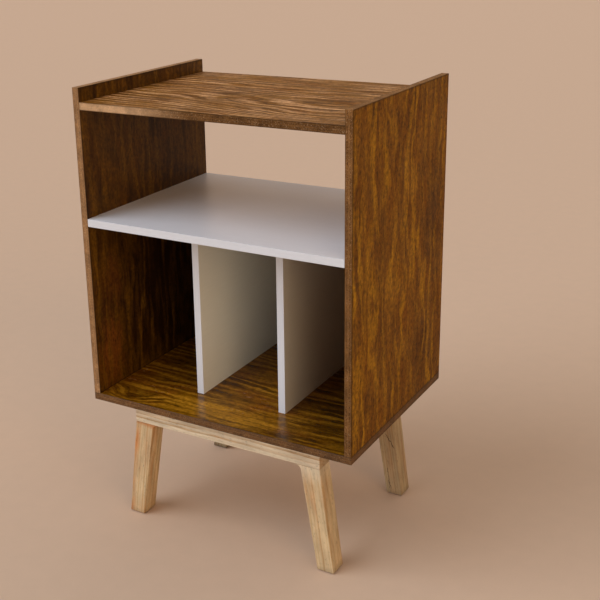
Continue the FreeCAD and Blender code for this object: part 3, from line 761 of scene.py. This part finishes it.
class STAND_OT_leg_frames(bpy.types.Operator):
    """Shows the grain of the planed pine rails and legs"""
    bl_idname = "stand.leg_frames"
    bl_label = "Pine Leg Frames"

    def execute(self, context):
        # Each piece's directions across its grain, along it and through it, and its own look
        pieces = {
            "front_rail": ("ZXY", {
                "pith": (60, 30), "ring": 7.0, "seed": 1.0, "sap": 0.85, "warm": 0.15,
                "level": (-1, 1, 1.03, 1.03), "joint": ("late", 300, 400, 0.0)}),
            "rear_rail": ("ZXY", {
                "pith": (-70, 20), "ring": 6.0, "seed": 4.0, "sap": 0.4,
                "level": (-1, 1, 1.0, 1.0), "joint": ("late", 300, 400, 0.0)}),
            "front_left_leg": ("XZY", {
                "pith": (55, -20), "turn": -SPLAY, "seed": 7.0, "heart": (-2, -14),
                # Its top is browned as painted shade under the rail
                "joint": ("resin", 99, 107, 0.75)}),
            "front_right_leg": ("XZY", {"pith": (-60, 25), "turn": SPLAY, "seed": 10.0}),
            # Painted shade: this leg darker where the stand shades it, its foot darkest
            "rear_left_leg": ("XZY", {
                "pith": (50, 30), "turn": -SPLAY, "seed": 13.0, "level": (-107, -95, 0.28, 0.8)}),
            # Painted shade: this leg darker where the stand shades it
            "rear_right_leg": ("XZY", {
                "pith": (-45, -40), "turn": SPLAY, "seed": 16.0, "level": (-107, -98, 0.6, 0.72),
                "cracks": (((199.7, 140.4), (219.6, 110.6), 1.3), ((205, 62), (213, 14), 0.9))}),
        }
        for node, (order, look) in pieces.items():
            dress(node, planed_pine(f"Planed pine, {label(node)}", node, order, {**PINE, **look}))
        return {"FINISHED"}


class STAND_OT_screws(bpy.types.Operator):
    """Models the screws under the carcass, with cross recesses"""
    bl_idname = "stand.screws"
    bl_label = "Screws"

    def execute(self, context):
        sizes = context.scene.stand_sizes
        # Bright zinc plating on steel: a soft grey shine with faint clouds and fine pits
        zinc = speckled(
            "Zinc plated steel, screws", context.scene.stand_finish.zinc, grain_mm=0.4, cloud_mm=3,
            tones=(0.82, 1.05), rough=(0.26, 0.4), relief_mm=0.01, Metallic=1.0)
        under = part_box("side_panel_screws")[0].z
        sink = (sizes.screw_head - sizes.screw_shank) / 2
        screw = model_screw(sizes.screw_head / 2, (
            (sink, sizes.screw_shank / sizes.screw_head),
            (sizes.screw_length - sink - sizes.tip, 1.0),
            (sizes.tip, TIP_TAPER)), sizes)
        set_copies(screw, "side_panel_screws_modelled", crossings(SIDE_SCREWS, under),
                   zinc, "side_panel_screws")
        set_copies(screw, "divider_screws_modelled", crossings(DIVIDER_SCREWS, under),
                   zinc, "divider_screws")
        pan = model_screw(sizes.pan_head * PAN_FACE, (
            *((sizes.pan_height * rise, widening) for rise, widening in PAN_ROUNDING),
            (0.0, sizes.pan_shank / sizes.pan_head),
            (sizes.pan_length - sizes.pan_height - sizes.tip, 1.0),
            (sizes.tip, TIP_TAPER)), sizes)
        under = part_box("rail_screws")[0].z
        set_copies(pan, "rail_screws_modelled", crossings(RAIL_SCREWS, under),
                   zinc, "rail_screws")
        clear_away(screw, pan)
        return {"FINISHED"}


class STAND_OT_dowels_and_brads(bpy.types.Operator):
    """Dresses the dowels and the brads"""
    bl_idname = "stand.dowels_and_brads"
    bl_label = "Dowels and Brads"

    def execute(self, context):
        finish = context.scene.stand_finish
        # Beech rod, turned: pinkish tan with short dark flecks
        beech = speckled("Turned beech dowel rod", finish.beech, grain_mm=1.5, cloud_mm=12,
                         tones=(0.78, 1.1), rough=(0.55, 0.65), relief_mm=0.05)
        for node in ("top_panel_dowels", "shelf_dowels", "divider_dowels", "leg_dowels"):
            dress(node, beech)
        # Zinc plating on drawn wire, duller than on the screws
        dress("back_panel_brads", speckled(
            "Zinc plated steel, brads", finish.zinc, grain_mm=0.4, cloud_mm=3,
            tones=(0.7, 0.95), rough=(0.35, 0.5), relief_mm=0.01, Metallic=1.0))
        return {"FINISHED"}


class STAND_OT_felt_pads(bpy.types.Operator):
    """Models the felt pads under the feet"""
    bl_idname = "stand.felt_pads"
    bl_label = "Felt Pads"

    def execute(self, context):
        sizes = context.scene.stand_sizes
        # Wool felt, pressed and punched out: short fibres in all directions, no gloss
        felt = speckled("Pressed wool felt", context.scene.stand_finish.felt, grain_mm=0.6, cloud_mm=4,
                        tones=(0.6, 1.5), rough=(0.92, 0.98), relief_mm=0.25, Sheen_Weight=0.3)
        tufts = bpy.data.textures.new("felt_edge", "CLOUDS")
        tufts.noise_scale = 4 / MM
        start_piece()
        bpy.ops.mesh.primitive_cylinder_add(
            vertices=64, radius=sizes.pad / 2 - sizes.pad_ragged, depth=sizes.pad_height, location=(0, 0, 0))
        pad = context.object
        bpy.ops.object.mode_set(mode="EDIT")
        select_faces(lambda face: abs(face.normal.z) > 0.9)
        bpy.ops.mesh.bevel(offset=sizes.pad_round, segments=4, affect="EDGES")
        select_faces(lambda face: abs(face.normal.z) > 0.99 and face.calc_area() > sizes.pad ** 2 / 4)
        bpy.ops.mesh.inset(thickness=sizes.pad / 12)
        bpy.ops.mesh.inset(thickness=sizes.pad / 6)
        bpy.ops.object.mode_set(mode="OBJECT")
        for direction in ("X", "Y"):
            rag = pad.modifiers.new("rag", "DISPLACE")
            rag.texture = tufts
            rag.texture_coords = "LOCAL"
            rag.direction = direction
            rag.strength = sizes.pad_ragged * 2
            bpy.ops.object.modifier_apply(modifier=rag.name)
        bpy.ops.object.shade_smooth_by_angle(angle=math.radians(50))
        for node in ("front_left_pad", "front_right_pad", "rear_left_pad", "rear_right_pad"):
            low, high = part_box(node)
            set_copies(pad, f"{node}_felt", [(low + high) / 2], felt, node)
        clear_away(pad)
        return {"FINISHED"}


class STAND_OT_stage(bpy.types.Operator):
    """Lays the floor, lights it softly and sets the camera"""
    bl_idname = "stand.stage"
    bl_label = "Floor, Light and Camera"

    def execute(self, context):
        stage = context.scene.stand_stage
        start_piece()
        bpy.ops.mesh.primitive_plane_add(size=FLOOR_SIZE, location=(0, 0, 0))
        floor = context.object
        floor.name = "floor"
        # Matt sheet flooring: even, with a faint mottling
        floor.data.materials.append(speckled(
            "Matt sheet flooring", stage.floor, grain_mm=3, cloud_mm=40,
            tones=(0.97, 1.03), rough=(0.75, 0.85), relief_mm=0.02))
        world = bpy.data.worlds.new("Soft room")
        world.use_nodes = True
        # What the eye, gloss and glass see is a pale backdrop, apart from the light that the room gives
        tree = world.node_tree
        rays = add(tree, "LightPath").node.outputs
        seen = rays["Is Camera Ray"]
        for ray in ("Is Glossy Ray", "Is Transmission Ray"):
            seen = add(tree, "Math", {0: seen, 1: rays[ray]}, operation="MAXIMUM")
        sky = add(tree, "MixShader", {
            0: seen,
            1: add(tree, "Background", {"Color": tuple(stage.room), "Strength": stage.room_level}),
            2: add(tree, "Background", {"Color": tuple(stage.backdrop), "Strength": 1.0})})
        tree.links.new(sky, tree.nodes["World Output"].inputs["Surface"])
        context.scene.world = world
        # A wide soft key from the front left, warm fills from the right and from behind, and one light from
        # above, all far enough off to light the floor evenly
        for name, tint, level, turn, height, spread in LIGHTS:
            bpy.ops.object.light_add(type="SUN", location=(0, 0, 3))
            lamp = context.object
            lamp.name = name
            lamp.data.energy = getattr(stage, level)
            lamp.data.color = tuple(getattr(stage, tint))[:3]
            lamp.data.angle = math.radians(spread)
            lamp.rotation_euler = (math.radians(90 - height), 0, math.radians(turn))
        # The camera stands where the photograph was taken from
        bpy.ops.object.camera_add()
        camera = context.object
        camera.name = "camera"
        heading, tilt, roll = (math.radians(angle) for angle in CAMERA_TURN)
        camera.matrix_world = (
            Matrix.Translation(CAMERA_PLACE)
            @ Matrix.Rotation(heading, 4, "Z")
            @ Matrix.Rotation(tilt, 4, "X")
            @ Matrix.Rotation(roll, 4, "Z"))
        camera.data.lens = stage.lens
        camera.data.sensor_width = 36
        camera.data.shift_x, camera.data.shift_y = CAMERA_SHIFT
        context.scene.camera = camera
        context.scene.view_settings.view_transform = "Standard"
        return {"FINISHED"}


STEPS = (
    STAND_OT_carcass,
    STAND_OT_white_boards,
    STAND_OT_leg_frames,
    STAND_OT_screws,
    STAND_OT_dowels_and_brads,
    STAND_OT_felt_pads,
    STAND_OT_stage,
)


class STAND_PT_panel(bpy.types.Panel):
    """Steps and settings of the turntable stand"""
    bl_idname = "STAND_PT_panel"
    bl_label = "Turntable Stand"
    bl_space_type = "VIEW_3D"
    bl_region_type = "UI"
    bl_category = "Stand"

    def draw(self, context):
        for step in STEPS:
            self.layout.operator(step.bl_idname)
        for group in GROUPS:
            box = self.layout.box()
            for name in GROUPS[group].__annotations__:
                box.prop(getattr(context.scene, group), name)


GROUPS = {"stand_finish": StandFinish, "stand_sizes": StandSizes, "stand_stage": StageSettings}


def register():
    for name, group in GROUPS.items():
        bpy.utils.register_class(group)
        setattr(bpy.types.Scene, name, bpy.props.PointerProperty(type=group))
    for step in (*STEPS, STAND_PT_panel):
        bpy.utils.register_class(step)


def unregister():
    for step in reversed((*STEPS, STAND_PT_panel)):
        bpy.utils.unregister_class(step)
    for name, group in GROUPS.items():
        delattr(bpy.types.Scene, name)
        bpy.utils.unregister_class(group)


def main():
    register()
    bpy.ops.stand.carcass()
    bpy.ops.stand.white_boards()
    bpy.ops.stand.leg_frames()
    bpy.ops.stand.screws()
    bpy.ops.stand.dowels_and_brads()
    bpy.ops.stand.felt_pads()
    bpy.ops.stand.stage()


if __name__ == "__main__":
    main()
